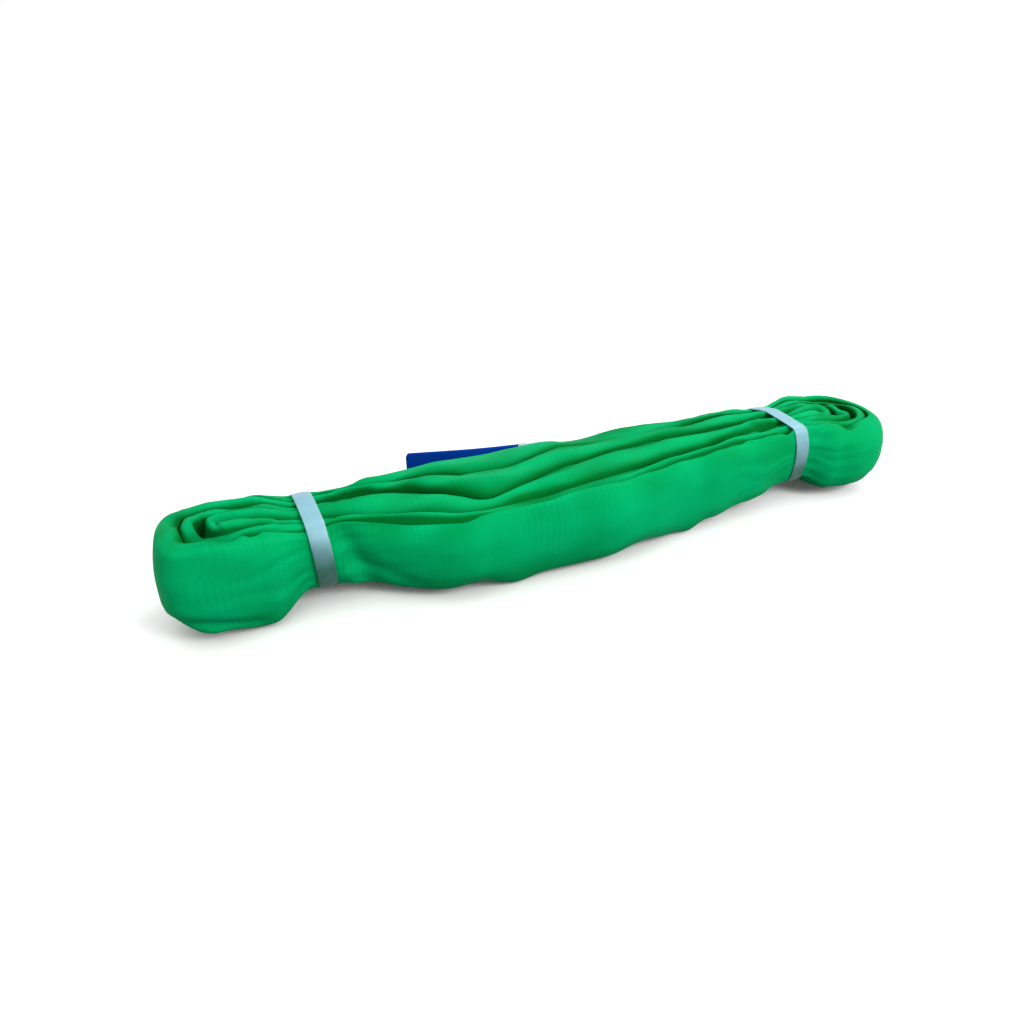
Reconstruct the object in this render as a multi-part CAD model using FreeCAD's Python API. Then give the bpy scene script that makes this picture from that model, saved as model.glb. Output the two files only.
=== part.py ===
"""Round sling: an endless polyester lifting sling, rolled up and strapped as a bundle.

The sling is one endless tube of woven sleeve round one endless hank of yarn. It is doubled,
and the doubled sling is rolled up on edge in four passes, so the bundle is eight layers thick.
The sleeve stands on edge: its flat width is the height of the bundle. Two packing straps
squeeze it into necks near its ends. Millimetres; X runs along the bundle, the front face looks
along -Y, and the origin is on the resting face, at the middle of the bundle.
"""
import FreeCAD, Part
import math
import os

V = FreeCAD.Vector

# ---- driving dimensions -----------------------------------------------------------------
BUNDLE_LENGTH = 512.0
LAYERS = 8
LEVEL_AT_ORIGIN = 3.88       # layers in front of the origin, so it lies inside one layer
SLEEVE_WALL = 1.2
LAYER_GAP = 0.6              # air between two layers that lie against each other
CORE_CLEARANCE = 0.5
CORE_HALF_WIDTH = 14.5       # the hank is narrower than the sleeve that holds it

# Stations along the bundle: x, half thickness, heights of the underside and the top, and how
# far the layers lie towards the back. A strap holds a neck to one size over its whole width.
NECK_FLAT = 7.0
LEFT_STRAP_X = -168.5
RIGHT_STRAP_X = 167.0
STATIONS = (
    (-228.0, 32.5, 0.0, 64.5, 0.0),
    (-200.0, 34.0, 0.5, 64.0, 3.0),
    (LEFT_STRAP_X - NECK_FLAT, 28.0, 9.5, 54.5, 9.0),
    (LEFT_STRAP_X + NECK_FLAT, 28.0, 9.5, 54.5, 9.0),
    (-84.5, 50.0, 0.0, 57.0, 0.0),
    (0.0, 49.5, 0.0, 60.0, -1.5),
    (83.5, 39.0, 0.0, 62.0, 0.0),
    (125.0, 35.0, 7.0, 62.0, 1.0),
    (RIGHT_STRAP_X - NECK_FLAT, 30.0, 16.0, 59.5, 2.0),
    (RIGHT_STRAP_X + NECK_FLAT, 30.0, 16.0, 59.5, 2.0),
    (197.0, 38.0, 5.0, 61.0, 1.0),
    (216.0, 40.0, 4.0, 59.0, 0.0),
)
THICKNESS, UNDERSIDE, TOP, SHIFT = 1, 2, 3, 4

# Packing straps
STRAP_WIDTH = 11.0
STRAP_THICKNESS = 0.8
STRAP_CLEARANCE = 0.2
STRAP_CORNER = 0.5
STRAP_OVERLAP = 25.0         # welded lap of the strap's two ends, on the back

# Join of the sleeve's two ends, on the back of the last pass
LAP_START = 6.0
LAP_LENGTH = 50.0
LAP_LOW = 2.5
LAP_HIGH = 47.5
STITCH_ROWS = (12.0, 18.0, 44.0, 50.0)
STITCH_PITCH = 4.0
STITCH_LENGTH = 2.8
STITCH_WIDTH = 0.7
STITCH_HEIGHT = 0.4

# Label: a blue tag on a pale sewn-in tab
LABEL_THICKNESS = 0.6
LABEL_LIFT = 0.35            # between the sleeve and the label's sewn end
LABEL_LOW = 3.0
LABEL_HIGH = 49.0
TAB_SEWN_LENGTH = 18.0
HINGE_X = 4.0
HINGE_GAP = 0.5              # from the hinge line to the loose half of the tab
SEWN_GAP = 0.9               # from the hinge line to the sewn half
TAB_LENGTH = 20.0            # loose part of the tab, from the hinge line to under the tag
TAG_START = 14.0
TAG_LIFT = LABEL_THICKNESS + 0.05
LABEL_LENGTH = 98.5          # from the hinge line to the tag's free edge
LABEL_START_ANGLE = 4.5      # degrees that the label stands off the sleeve at its hinge line
LABEL_BEND_RADIUS = 400.0    # it curls further out towards its free edge

# Adhesive tape round the joined yarn ends
TAPE_X = (-12.5, 12.5)
TAPE_THICKNESS = 0.2

REACH = 100.0                # larger than any half width or height of the bundle


# ---- envelope of the bundle -------------------------------------------------------------
def station_value(x, column):
    """Value of one column of STATIONS at x, eased between neighbouring stations."""
    if x <= STATIONS[0][0]:
        return STATIONS[0][column]
    for near, far in zip(STATIONS, STATIONS[1:]):
        if x <= far[0]:
            t = (x - near[0]) / (far[0] - near[0])
            return near[column] + (far[column] - near[column]) * t * t * (3.0 - 2.0 * t)
    return STATIONS[-1][column]


def layer_pitch(x):
    return 2.0 * station_value(x, THICKNESS) / LAYERS


def level_y(level, x):
    """Y of a layer boundary: level 0 is the front face, level 8 is the back."""
    return (level - LEVEL_AT_ORIGIN) * layer_pitch(x) + station_value(x, SHIFT)


def steps(start, end, size=16.0):
    """Values of x from start to end, about size apart, with every station among them."""
    low, high = min(start, end), max(start, end)
    marks = [low] + [s[0] for s in STATIONS if low + 2.0 < s[0] < high - 2.0] + [high]
    values = [low]
    for a, b in zip(marks, marks[1:]):
        count = max(2, int((b - a) / size + 0.5))
        values += [a + (b - a) * i / count for i in range(1, count + 1)]
    return values if end > start else values[::-1]


def spline(points, direction):
    curve = Part.BSplineCurve()
    curve.interpolate(Points=points, InitialTangent=direction, FinalTangent=direction)
    return curve.toShape()


# ---- plan of the rolled-up sling --------------------------------------------------------
# Each pass is the doubled sling, two layers thick. It is named by its middle level.
FIRST_PASS, SECOND_PASS, THIRD_PASS, FOURTH_PASS = 3, 5, 1, 7
LEFT_TURN_X = -BUNDLE_LENGTH / 2 + 3 * layer_pitch(-REACH * 3)
RIGHT_TURN_X = BUNDLE_LENGTH / 2 - 4 * layer_pitch(REACH * 3)
LAST_BIGHT_X = -233.0
SPLIT_X = 0.0


def run(level, offset, start, end):
    """Two edges along one side of a pass, met at the middle, offset in mm towards the back."""
    direction = V(1 if end > start else -1, 0, 0)
    edges = []
    for a, b in ((start, SPLIT_X), (SPLIT_X, end)):
        edges.append(spline([V(x, level_y(level, x) + offset, 0) for x in steps(a, b)], direction))
    return edges


def turn(x, level, layers, offset, side, forward):
    """Half circle about a level. side is +1 at the right end; forward goes front to back."""
    radius = layers * layer_pitch(x) + offset
    centre = level_y(level, x)
    first = V(x, centre - radius, 0)
    last = V(x, centre + radius, 0)
    if not forward:
        first, last = last, first
    return [Part.Arc(first, V(x + side * radius, centre, 0), last).toShape()]


def strip_wire(layers, offset):
    """Plan of the doubled sling, out to a number of layers plus an offset from its middle."""
    k, d = layers, offset
    edges = [
        run(FIRST_PASS - k, -d, LEFT_TURN_X, RIGHT_TURN_X),
        turn(RIGHT_TURN_X, 4, 1 + k, d, 1, True),
        run(SECOND_PASS + k, d, RIGHT_TURN_X, LEFT_TURN_X),
        turn(LEFT_TURN_X, 3, 2 + k, d, -1, False),
        run(THIRD_PASS - k, -d, LEFT_TURN_X, RIGHT_TURN_X),
        turn(RIGHT_TURN_X, 4, 3 + k, d, 1, True),
        run(FOURTH_PASS + k, d, RIGHT_TURN_X, LAST_BIGHT_X),
        turn(LAST_BIGHT_X, 7, k, d, -1, False),
        run(FOURTH_PASS - k, -d, LAST_BIGHT_X, RIGHT_TURN_X),
        turn(RIGHT_TURN_X, 4, 3 - k, -d, 1, False),
        run(THIRD_PASS + k, d, RIGHT_TURN_X, LEFT_TURN_X),
        turn(LEFT_TURN_X, 3, 2 - k, -d, -1, True),
        run(SECOND_PASS - k, -d, LEFT_TURN_X, RIGHT_TURN_X),
        turn(RIGHT_TURN_X, 4, 1 - k, -d, 1, False),
        run(FIRST_PASS + k, d, RIGHT_TURN_X, LEFT_TURN_X),
        turn(LEFT_TURN_X, 3, k, d, -1, False),
    ]
    return Part.Wire(sum(edges, []))


def loop_band(inset):
    """Upright prism of the whole endless loop, inset in mm from every layer's two faces."""
    outside = strip_wire(1, -LAYER_GAP / 2 - inset)
    between = strip_wire(0, LAYER_GAP / 2 + inset)
    between.reverse()
    plan = Part.Face([outside, between])
    plan.validate()
    return plan.extrude(V(0, 0, REACH))


def side_solid(bottom_edges, top_edge_points):
    """Prism along Y between an underside and a top line, both running from left to right."""
    top = spline(top_edge_points, V(1, 0, 0))
    low_left = bottom_edges[0].Vertexes[0].Point
    low_right = bottom_edges[-1].Vertexes[-1].Point
    ends = [
        Part.makeLine(low_right, top_edge_points[-1]),
        Part.makeLine(low_left, top_edge_points[0]),
    ]
    face = Part.Face(Part.Wire(Part.__sortEdges__(bottom_edges + [top] + ends)))
    return face.extrude(V(0, 2 * REACH, 0))


def underside_edges(height):
    """The underside: flat between stations of one height, and eased between the others."""
    far = BUNDLE_LENGTH / 2 + 5
    ends = [(-far, *STATIONS[0][1:])] + list(STATIONS) + [(far, *STATIONS[-1][1:])]
    edges = []
    for near, last in zip(ends, ends[1:]):
        points = [V(x, -REACH, station_value(x, UNDERSIDE) + height) for x in steps(near[0], last[0], 8.0)]
        if near[UNDERSIDE] == last[UNDERSIDE]:
            edges.append(Part.makeLine(points[0], points[-1]))
        else:
            edges.append(spline(points, V(1, 0, 0)))
    return edges


def height_envelope(inset):
    far = BUNDLE_LENGTH / 2 + 5
    top = [V(x, -REACH, station_value(x, TOP) - inset) for x in steps(-far, far, 10.0)]
    return side_solid(underside_edges(inset), top)


def hank_envelope(growth):
    """Heights that the hank takes up: a strip of one width along the middle of the sleeve."""
    far = BUNDLE_LENGTH / 2 + 5
    half = CORE_HALF_WIDTH + growth
    middle = [(x, (station_value(x, TOP) + station_value(x, UNDERSIDE)) / 2) for x in steps(-far, far, 10.0)]
    low = spline([V(x, -REACH, z - half) for x, z in middle], V(1, 0, 0))
    return side_solid([low], [V(x, -REACH, z + half) for x, z in middle])


# ---- sling ------------------------------------------------------------------------------
def make_sleeve():
    """The woven tube: an outer skin and, one wall inside it, the skin of its closed lumen."""
    outside = loop_band(0).common(height_envelope(0)).Shells[0]
    lumen = loop_band(SLEEVE_WALL).common(height_envelope(SLEEVE_WALL)).Shells[0]
    lumen.reverse()
    return Part.Solid(Part.Compound([outside, lumen]))


def make_core_hank():
    return loop_band(SLEEVE_WALL + CORE_CLEARANCE).common(hank_envelope(0))


def make_core_end_tape(hank):
    """Tape wound once round one leg of the hank, over the joined yarn ends."""
    start, end = TAPE_X
    front = level_y(FIRST_PASS - 1, 0)
    back = level_y(FIRST_PASS, 0)
    leg = Part.makeBox(end - start, back - front, REACH, V(start, front, 0))
    wrap = loop_band(SLEEVE_WALL + CORE_CLEARANCE - TAPE_THICKNESS).common(hank_envelope(TAPE_THICKNESS))
    return wrap.common(leg).cut(hank)


# ---- back of the bundle: sleeve join and label ------------------------------------------
def back_y(x):
    return level_y(LAYERS, x) - LAYER_GAP / 2


def back_plate(start, end, low, high, lift, thickness):
    """Sheet that follows the back of the bundle between two x, lifted off the sleeve."""
    xs = steps(start, end, 6.0)
    inner = Part.BSplineCurve()
    inner.interpolate(Points=[V(x, back_y(x) + lift, low) for x in xs])
    outer = Part.BSplineCurve()
    outer.interpolate(Points=[V(x, back_y(x) + lift + thickness, low) for x in xs])
    ends = [Part.makeLine(V(x, back_y(x) + lift, low), V(x, back_y(x) + lift + thickness, low))
            for x in (start, end)]
    edges = [inner.toShape(), ends[1], outer.toShape(), ends[0]]
    return Part.Face(Part.Wire(Part.__sortEdges__(edges))).extrude(V(0, 0, high - low))


LAP_LIFT = LABEL_LIFT + LABEL_THICKNESS + 0.1      # the label's sewn end lies under the lap


def make_sleeve_lap():
    return back_plate(LAP_START, LAP_START + LAP_LENGTH, LAP_LOW, LAP_HIGH, LAP_LIFT, SLEEVE_WALL)


def stitch_row(x, y, low, high):
    """A column of stitches, each one a short bar of thread lying on the cloth."""
    count = int((high - low) / STITCH_PITCH)
    spare = (high - low - count * STITCH_PITCH + STITCH_PITCH - STITCH_LENGTH) / 2
    return [Part.makeBox(STITCH_WIDTH, STITCH_HEIGHT, STITCH_LENGTH,
                         V(x - STITCH_WIDTH / 2, y, low + spare + i * STITCH_PITCH))
            for i in range(count)]


def make_sleeve_lap_stitching():
    stitches = []
    for x in STITCH_ROWS:
        surface = max(back_y(x - STITCH_WIDTH / 2), back_y(x + STITCH_WIDTH / 2))
        on_lap = surface + LAP_LIFT + SLEEVE_WALL + 0.02
        stitches += stitch_row(x, on_lap, LAP_LOW + 1.5, LAP_HIGH - 1.5)
    return Part.Compound(stitches)


def make_label_tab_sewn_end():
    return back_plate(HINGE_X + SEWN_GAP, HINGE_X + TAB_SEWN_LENGTH, LABEL_LOW, LABEL_HIGH,
                      LABEL_LIFT, LABEL_THICKNESS)


def hinge_y():
    return back_y(HINGE_X) + LABEL_LIFT + LABEL_THICKNESS / 2


def label_point(s, lift):
    """Point s mm along the label from its hinge line, lifted outwards from its middle plane."""
    bend = math.radians(LABEL_START_ANGLE)
    first = V(math.sin(bend), math.cos(bend), 0)
    centre = V(HINGE_X, hinge_y(), LABEL_LOW) + first * LABEL_BEND_RADIUS
    angle = bend + s / LABEL_BEND_RADIUS
    return centre - V(math.sin(angle), math.cos(angle), 0) * (LABEL_BEND_RADIUS - lift)


def label_sheet(start, end, lift):
    """Sheet along the loose label between two distances from its hinge line."""
    low, high = lift - LABEL_THICKNESS / 2, lift + LABEL_THICKNESS / 2
    along = (start, (start + end) / 2, end)
    inner = [label_point(s, low) for s in along]
    outer = [label_point(s, high) for s in along]
    edges = [
        Part.Arc(inner[0], inner[1], inner[2]).toShape(),
        Part.makeLine(inner[2], outer[2]),
        Part.Arc(outer[2], outer[1], outer[0]).toShape(),
        Part.makeLine(outer[0], inner[0]),
    ]
    return Part.Face(Part.Wire(edges)).extrude(V(0, 0, LABEL_HIGH - LABEL_LOW))


def make_label_tab_flap():
    return label_sheet(HINGE_GAP, TAB_LENGTH, 0)


def make_label_tag():
    return label_sheet(TAG_START, LABEL_LENGTH, TAG_LIFT)


def make_label_tag_stitching():
    """One column of stitches that holds the tag on the tab."""
    s = (TAG_START + TAB_LENGTH) / 2
    foot = label_point(s, TAG_LIFT + LABEL_THICKNESS / 2 + 0.02)
    row = Part.Compound(stitch_row(foot.x, foot.y, LABEL_LOW + 2.0, LABEL_HIGH - 2.0))
    row.rotate(foot, V(0, 0, -1), LABEL_START_ANGLE + math.degrees(s / LABEL_BEND_RADIUS))
    return row


# ---- packing straps ---------------------------------------------------------------------
def rounded_box(x, front, back, low, high, corner):
    box = Part.makeBox(STRAP_WIDTH, back - front, high - low, V(x - STRAP_WIDTH / 2, front, low))
    along = [e for e in box.Edges if abs(e.Vertexes[0].X - e.Vertexes[1].X) > 1.0]
    return box.makeFillet(corner, along)


def make_strap(x):
    front = level_y(0, x) + LAYER_GAP / 2 - STRAP_CLEARANCE
    back = back_y(x) + STRAP_CLEARANCE
    low = station_value(x, UNDERSIDE) - STRAP_CLEARANCE
    high = station_value(x, TOP) + STRAP_CLEARANCE
    t = STRAP_THICKNESS
    outer = rounded_box(x, front - t, back + t, low - t, high + t, STRAP_CORNER + t)
    ring = outer.cut(rounded_box(x, front, back, low, high, STRAP_CORNER))
    middle = (low + high) / 2
    lap = Part.makeBox(STRAP_WIDTH, t, STRAP_OVERLAP, V(x - STRAP_WIDTH / 2, back + t, middle - STRAP_OVERLAP / 2))
    return ring.fuse(lap).removeSplitter()


# ---- export -----------------------------------------------------------------------------
def main():
    os.makedirs("parts", exist_ok=True)
    hank = make_core_hank()
    nodes = {
        "sleeve": make_sleeve(),
        "core_hank": hank,
        "core_end_tape": make_core_end_tape(hank),
        "sleeve_lap": make_sleeve_lap(),
        "sleeve_lap_stitching": make_sleeve_lap_stitching(),
        "label_tab_sewn_end": make_label_tab_sewn_end(),
        "label_tab_flap": make_label_tab_flap(),
        "label_tag": make_label_tag(),
        "label_tag_stitching": make_label_tag_stitching(),
        "left_strap": make_strap(LEFT_STRAP_X),
        "right_strap": make_strap(RIGHT_STRAP_X),
    }
    for name, shape in nodes.items():
        shape.exportStep("parts/" + name + ".step")
        box = shape.BoundBox
        print(name, len(shape.Solids), "solids", shape.isValid(), round(shape.Volume), "mm3",
              [round(v, 1) for v in (box.XMin, box.YMin, box.ZMin, box.XMax, box.YMax, box.ZMax)])


main()
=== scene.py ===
"""Looks of the strapped round sling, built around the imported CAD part. Lengths in the shape
functions are millimetres in the row frame; make_mesh() turns them into metres."""
import math
import bpy
import numpy as np
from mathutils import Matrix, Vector


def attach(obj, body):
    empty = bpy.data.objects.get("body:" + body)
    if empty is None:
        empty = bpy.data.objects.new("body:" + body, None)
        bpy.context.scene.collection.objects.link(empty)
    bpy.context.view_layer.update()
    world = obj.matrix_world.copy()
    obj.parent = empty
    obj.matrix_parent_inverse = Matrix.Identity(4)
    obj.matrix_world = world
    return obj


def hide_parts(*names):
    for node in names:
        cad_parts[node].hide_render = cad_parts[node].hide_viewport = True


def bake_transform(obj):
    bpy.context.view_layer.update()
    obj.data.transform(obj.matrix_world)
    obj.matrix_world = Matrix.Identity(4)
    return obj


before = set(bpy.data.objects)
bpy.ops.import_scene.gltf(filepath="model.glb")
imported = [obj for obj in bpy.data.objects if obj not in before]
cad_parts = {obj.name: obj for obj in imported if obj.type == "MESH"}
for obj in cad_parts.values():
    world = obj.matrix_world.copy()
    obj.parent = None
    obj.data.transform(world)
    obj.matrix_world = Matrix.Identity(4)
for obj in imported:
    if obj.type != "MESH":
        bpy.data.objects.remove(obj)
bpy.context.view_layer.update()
MM = 0.001


# ---- camera, light and floor (metres and degrees) ------------------------------------------
CAMERA_LENS, CAMERA_SENSOR = 27.23, 36.0                   # in mm
CAMERA_AIM, CAMERA_DISTANCE = (-0.044, 0.0, 0.0273), 0.4993
CAMERA_AZIMUTH, CAMERA_ELEVATION = -24.25, 28.49
LIGHTS = (        # name, aim, azimuth, elevation, distance, size and watts
    ("front", (0.10, 0, 0.02), 24, 36, 1.4, 0.6, 14.5),
    ("top", (0.05, 0, 0.02), 120, 52, 1.7, 0.6, 6.0))
SKY = (           # height, 0 straight down to 1 straight up, and grey
    (0.0, 0.03), (0.44, 0.06), (0.47, 0.68), (0.62, 0.68), (0.66, 0.36), (0.75, 0.40), (1.0, 1.20))
SKY_STRENGTH = 1.5
FLOOR_RADIUS, FLOOR_SIDES, FLOOR_GREY = 14.0, 96, 0.96


def direction(azimuth, elevation):
    a, e = math.radians(azimuth), math.radians(elevation)
    return Vector((math.sin(a) * math.cos(e), -math.cos(a) * math.cos(e), math.sin(e)))


def aim(obj, target, azimuth, elevation, distance):
    back = direction(azimuth, elevation)
    obj.location = Vector(target) + back * distance
    obj.rotation_mode = "QUATERNION"
    obj.rotation_quaternion = (-back).to_track_quat("-Z", "Y")


def add_object(name, data):
    obj = bpy.data.objects.new(name, data)
    bpy.context.scene.collection.objects.link(obj)
    return obj


def make_camera():
    data = bpy.data.cameras.new("camera")
    data.sensor_width = CAMERA_SENSOR
    data.lens = CAMERA_LENS
    data.clip_start = 0.01
    camera = add_object("camera", data)
    aim(camera, CAMERA_AIM, CAMERA_AZIMUTH, CAMERA_ELEVATION, CAMERA_DISTANCE)
    bpy.context.scene.camera = camera


def area_light(name, target, azimuth, elevation, distance, size, watts):
    data = bpy.data.lights.new(name, "AREA")
    data.shape = "SQUARE"
    data.size = size
    data.energy = watts
    aim(add_object(name, data), target, azimuth, elevation, distance)


def make_stage():
    scene = bpy.context.scene
    scene.view_settings.view_transform = "Standard"
    scene.view_settings.look = "None"
    for light in LIGHTS:
        area_light(*light)
    world = bpy.data.worlds.new("studio")
    scene.world = world
    world.use_nodes = True
    # a soft box of a sky: bright above, white at the horizon, and dim below it
    tree = world.node_tree
    split = tree.nodes.new("ShaderNodeSeparateXYZ")
    tree.links.new(tree.nodes.new("ShaderNodeTexCoord").outputs["Generated"], split.inputs[0])
    ramp = tree.nodes.new("ShaderNodeValToRGB")
    ramp.color_ramp.interpolation = "LINEAR"
    while len(ramp.color_ramp.elements) < len(SKY):
        ramp.color_ramp.elements.new(0.5)
    for element, (at, grey) in zip(ramp.color_ramp.elements, SKY):
        element.position = at
        element.color = (grey, grey, grey, 1.0)
    scaled = tree.nodes.new("ShaderNodeMath")
    scaled.operation = "MULTIPLY_ADD"
    scaled.inputs[1].default_value = scaled.inputs[2].default_value = 0.5
    tree.links.new(split.outputs["Z"], scaled.inputs[0])
    tree.links.new(scaled.outputs[0], ramp.inputs["Fac"])
    tree.links.new(ramp.outputs["Color"], tree.nodes["Background"].inputs["Color"])
    tree.nodes["Background"].inputs["Strength"].default_value = SKY_STRENGTH
    angles = [2 * math.pi * i / FLOOR_SIDES for i in range(FLOOR_SIDES)]
    rim = [(FLOOR_RADIUS * math.cos(a), FLOOR_RADIUS * math.sin(a), 0.0) for a in angles]
    mesh = bpy.data.meshes.new("floor")
    mesh.from_pydata(rim, [], [list(range(FLOOR_SIDES))])
    floor = add_object("floor", mesh)
    floor.visible_diffuse = False
    floor.data.materials.append(plain_material("floor_white", (FLOOR_GREY,) * 3, 0.9))


# ---- materials --------------------------------------------------------------------------
class Nodes:
    """A material's node tree with short ways to add and link nodes."""

    def __init__(self, name):
        self.material = bpy.data.materials.new(name)
        self.material.use_nodes = True
        self.tree = self.material.node_tree
        self.shader = self.tree.nodes["Principled BSDF"]

    def set(self, **values):
        for key, value in values.items():
            self.shader.inputs[key.replace("_", " ")].default_value = value

    def add(self, kind, **settings):
        node = self.tree.nodes.new(kind)
        for key, value in settings.items():
            setattr(node, key, value)
        return node

    def link(self, source, target):
        self.tree.links.new(source, target)

    def value(self, socket, item):
        if isinstance(item, (int, float)):
            socket.default_value = item
        else:
            self.link(item, socket)

    def maths(self, operation, a, b=0.0, c=None):
        node = self.add("ShaderNodeMath", operation=operation)
        self.value(node.inputs[0], a)
        self.value(node.inputs[1], b)
        if c is not None:
            self.value(node.inputs[2], c)
        return node.outputs[0]

    def noise(self, vector, scale, detail=3.0, roughness=0.5):
        node = self.add("ShaderNodeTexNoise")
        self.link(vector, node.inputs["Vector"])
        node.inputs["Scale"].default_value = scale
        node.inputs["Detail"].default_value = detail
        node.inputs["Roughness"].default_value = roughness
        return node.outputs["Fac"]

    def remap(self, value, low, high, to_low, to_high):
        node = self.add("ShaderNodeMapRange")
        self.link(value, node.inputs["Value"])
        for key, number in (("From Min", low), ("From Max", high), ("To Min", to_low), ("To Max", to_high)):
            node.inputs[key].default_value = number
        return node.outputs["Result"]

    def mix(self, factor, a, b):
        """Colour from a to b; each is a socket or three numbers."""
        node = self.add("ShaderNodeMix", data_type="RGBA")
        self.value(node.inputs["Factor"], factor)
        for socket, item in ((node.inputs["A"], a), (node.inputs["B"], b)):
            if isinstance(item, tuple):
                socket.default_value = (*item, 1.0)
            else:
                self.link(item, socket)
        return node.outputs["Result"]

    def bump(self, height, distance, strength=1.0):
        node = self.add("ShaderNodeBump")
        node.inputs["Distance"].default_value = distance
        node.inputs["Strength"].default_value = strength
        self.link(height, node.inputs["Height"])
        self.link(node.outputs["Normal"], self.shader.inputs["Normal"])

    def wave(self, coordinate, pitch_mm):
        """A smooth 0 to 1 wave along a coordinate in millimetres."""
        angle = self.maths("MULTIPLY", coordinate, 2 * math.pi / pitch_mm)
        return self.maths("MULTIPLY_ADD", self.maths("SINE", angle), 0.5, 0.5)

    def weave_coordinates(self):
        """U and V of the weave map, in millimetres along and across the cloth."""
        uv = self.add("ShaderNodeUVMap", uv_map="weave")
        split = self.add("ShaderNodeSeparateXYZ")
        self.link(uv.outputs["UV"], split.inputs[0])
        along = self.maths("MULTIPLY", split.outputs[0], 1.0 / MM)
        across = self.maths("MULTIPLY", split.outputs[1], 1.0 / MM)
        return along, across

    def object_position(self):
        return self.add("ShaderNodeTexCoord").outputs["Object"]


def plain_material(name, colour, roughness):
    nodes = Nodes(name)
    nodes.set(Base_Color=(*colour, 1.0), Roughness=roughness)
    return nodes.material


def cloth_material(name, deep, bright, rib_pitch, thread_pitch, rib_height=0.00009, sheen=0.25,
                   gloss=0.35, roughness=0.62, painted_shade=None):
    """Woven cloth: ribs across the length, fine threads along it, and uneven dye.

    Pitches are in millimetres and noise scales in cycles per metre. The last argument is the
    colour of painted shade, mixed in by the mesh's own value of painted shade, deepest in the folds.
    """
    nodes = Nodes(name)
    along, across = nodes.weave_coordinates()
    place = nodes.object_position()
    # ribs that wander a little and fade in and out in patches
    wander = nodes.noise(place, 90.0, 2.0)
    shifted = nodes.maths("MULTIPLY_ADD", wander, 1.4, along)
    patch = nodes.remap(nodes.noise(place, 38.0, 1.0), 0.42, 0.62, 0.15, 1.0)
    ribs = nodes.maths("MULTIPLY", nodes.wave(shifted, rib_pitch), patch)
    bands = nodes.maths("MULTIPLY", nodes.wave(shifted, rib_pitch * 3.0), patch)
    threads = nodes.wave(across, thread_pitch)
    fibres = nodes.noise(place, 2600.0, 2.0, 0.6)
    cloud = nodes.noise(place, 26.0, 3.0)
    # colour: mostly uneven dye, then fibres, with faint ribs
    tone = nodes.maths("MULTIPLY_ADD", ribs, 0.05, nodes.maths("MULTIPLY", bands, 0.08))
    tone = nodes.maths("MULTIPLY_ADD", fibres, 0.30, tone)
    tone = nodes.maths("MULTIPLY_ADD", cloud, 0.52, tone)
    tone = nodes.remap(tone, 0.2, 0.8, 0.0, 1.0)
    colour = nodes.mix(tone, deep, bright)
    # painted shade: a darker colour mixed in by the mesh's value of painted shade
    if painted_shade:
        depth = nodes.add("ShaderNodeAttribute", attribute_name="painted_shade").outputs["Fac"]
        colour = nodes.mix(nodes.maths("MULTIPLY", depth, 0.9), colour, painted_shade)
    nodes.link(colour, nodes.shader.inputs["Base Color"])
    rough = nodes.remap(fibres, 0.3, 0.7, roughness - 0.07, roughness + 0.07)
    nodes.link(rough, nodes.shader.inputs["Roughness"])
    height = nodes.maths("MULTIPLY_ADD", bands, 0.45, nodes.maths("MULTIPLY", ribs, 0.4))
    height = nodes.maths("MULTIPLY_ADD", threads, 0.30, height)
    height = nodes.maths("MULTIPLY_ADD", fibres, 0.45, height)
    nodes.bump(height, rib_height, 0.9)
    nodes.set(Specular_IOR_Level=gloss, Sheen_Weight=sheen, Sheen_Roughness=0.45)
    tint = [c / max(bright) for c in bright]
    nodes.shader.inputs["Sheen Tint"].default_value = (*tint, 1.0)
    nodes.shader.inputs["Specular Tint"].default_value = (*[0.04 + 0.96 * math.sqrt(c) for c in tint], 1.0)
    return nodes.material


# low on the strap the dark green is painted shade, with painted show-through of the green cloth
FILM_SHADED_Z, FILM_PALE_Z = 0.034, 0.055       # where the strap turns from dark green to pale blue


def film_material():
    """Pale blue packing band: thin plastic film with fine stretch marks along it.

    Lower down, where less light falls on it, it is painted darker and green: painted shade, with the cloth
    behind painted as showing through.
    """
    nodes = Nodes("strap_film")
    along, across = nodes.weave_coordinates()
    place = nodes.object_position()
    streaks = nodes.wave(nodes.maths("MULTIPLY_ADD", nodes.noise(place, 140.0), 1.2, across), 0.9)
    cloud = nodes.noise(place, 70.0, 3.0)
    tone = nodes.maths("MULTIPLY_ADD", streaks, 0.35, nodes.maths("MULTIPLY", cloud, 0.65))
    split = nodes.add("ShaderNodeSeparateXYZ")
    nodes.link(place, split.inputs[0])
    uneven_height = nodes.maths("MULTIPLY_ADD", cloud, 0.012, split.outputs[2])
    low = nodes.remap(uneven_height, FILM_PALE_Z, FILM_SHADED_Z, 0.0, 1.0)
    pale = nodes.mix(tone, (0.17, 0.39, 0.50), (0.32, 0.60, 0.68))
    # painted shade and painted show-through of the green cloth, low on the band
    shaded_green = nodes.mix(tone, (0.010, 0.10, 0.075), (0.032, 0.17, 0.135))
    nodes.link(nodes.mix(low, pale, shaded_green), nodes.shader.inputs["Base Color"])
    nodes.link(nodes.remap(streaks, 0.0, 1.0, 0.28, 0.42), nodes.shader.inputs["Roughness"])
    nodes.bump(streaks, 0.00006, 0.8)
    nodes.set(Alpha=0.74, Specular_IOR_Level=0.4, Coat_Weight=0.15, Coat_Roughness=0.25)
    return nodes.material


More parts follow.
